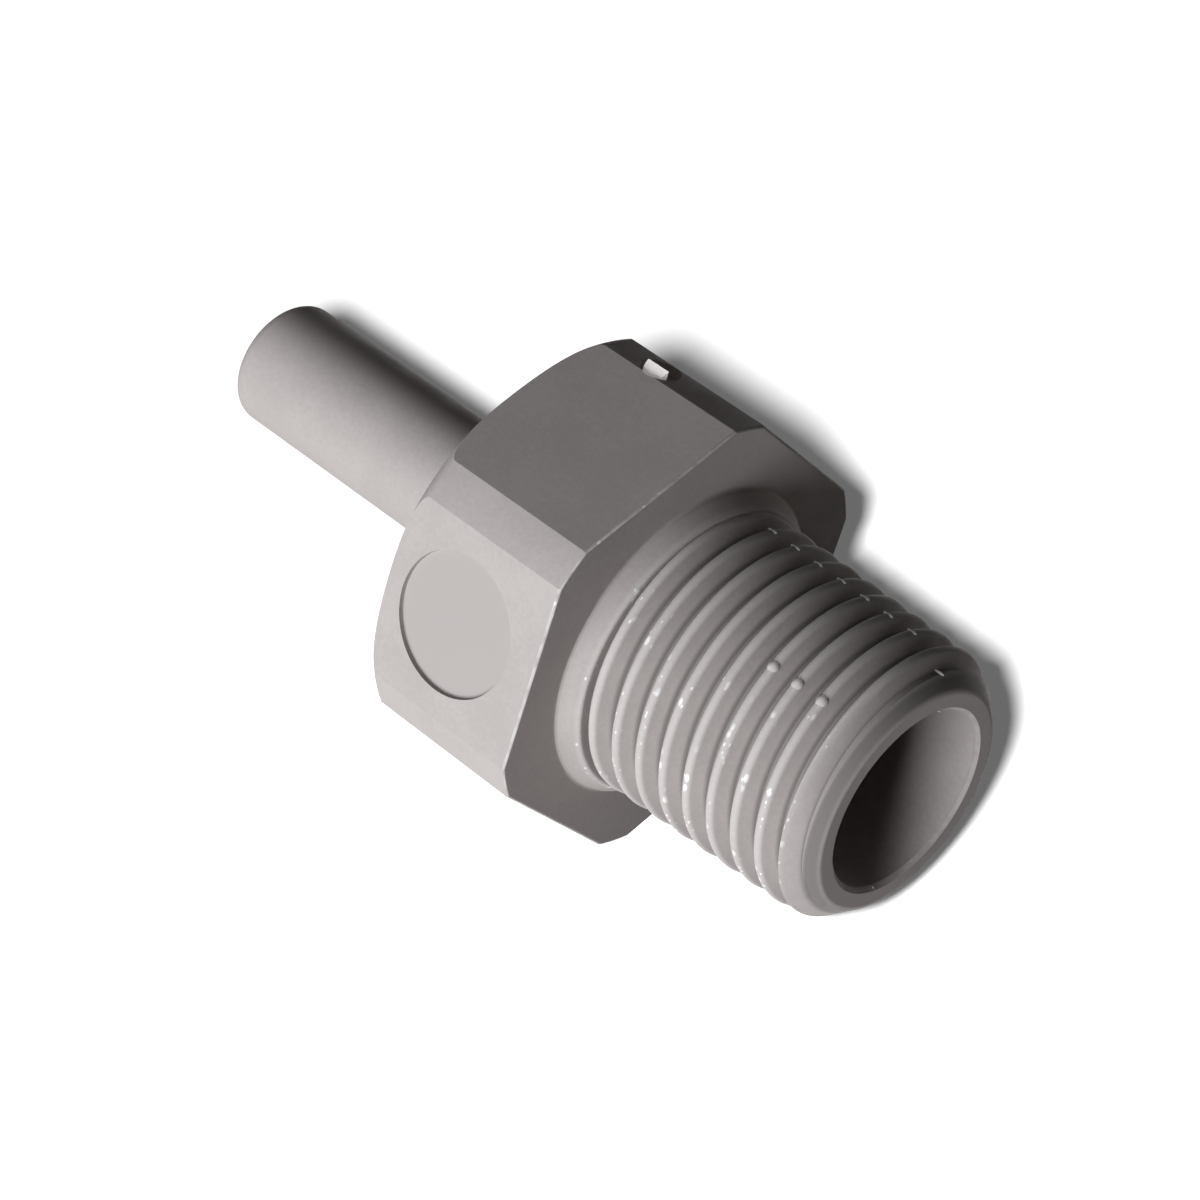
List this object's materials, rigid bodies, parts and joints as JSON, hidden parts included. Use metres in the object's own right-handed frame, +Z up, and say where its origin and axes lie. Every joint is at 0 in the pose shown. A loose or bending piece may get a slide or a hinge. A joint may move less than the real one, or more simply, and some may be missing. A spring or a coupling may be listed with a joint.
{
  "type": "push-fit stem adapter",
  "caption": "Moulded tube adapter: a plain push-in stem behind a hexagon, and an external taper pipe thread in front with a wide bore, joined by a straight waterway.",
  "frame": {"origin": "middle of the bounding box's underside, below the axis", "axes": "+X along the axis from the stem towards the thread, +Z up; one flat of the hexagon rests on Z = 0"},
  "size_m": [0.0392, 0.021, 0.019],
  "materials": {
    "body_plastic": "warm mid-grey moulded acetal, satin, with fine moulding marks"
  },
  "bodies": {
    "root": {"adapter_body": "body_plastic"}
  },
  "joints": []
}
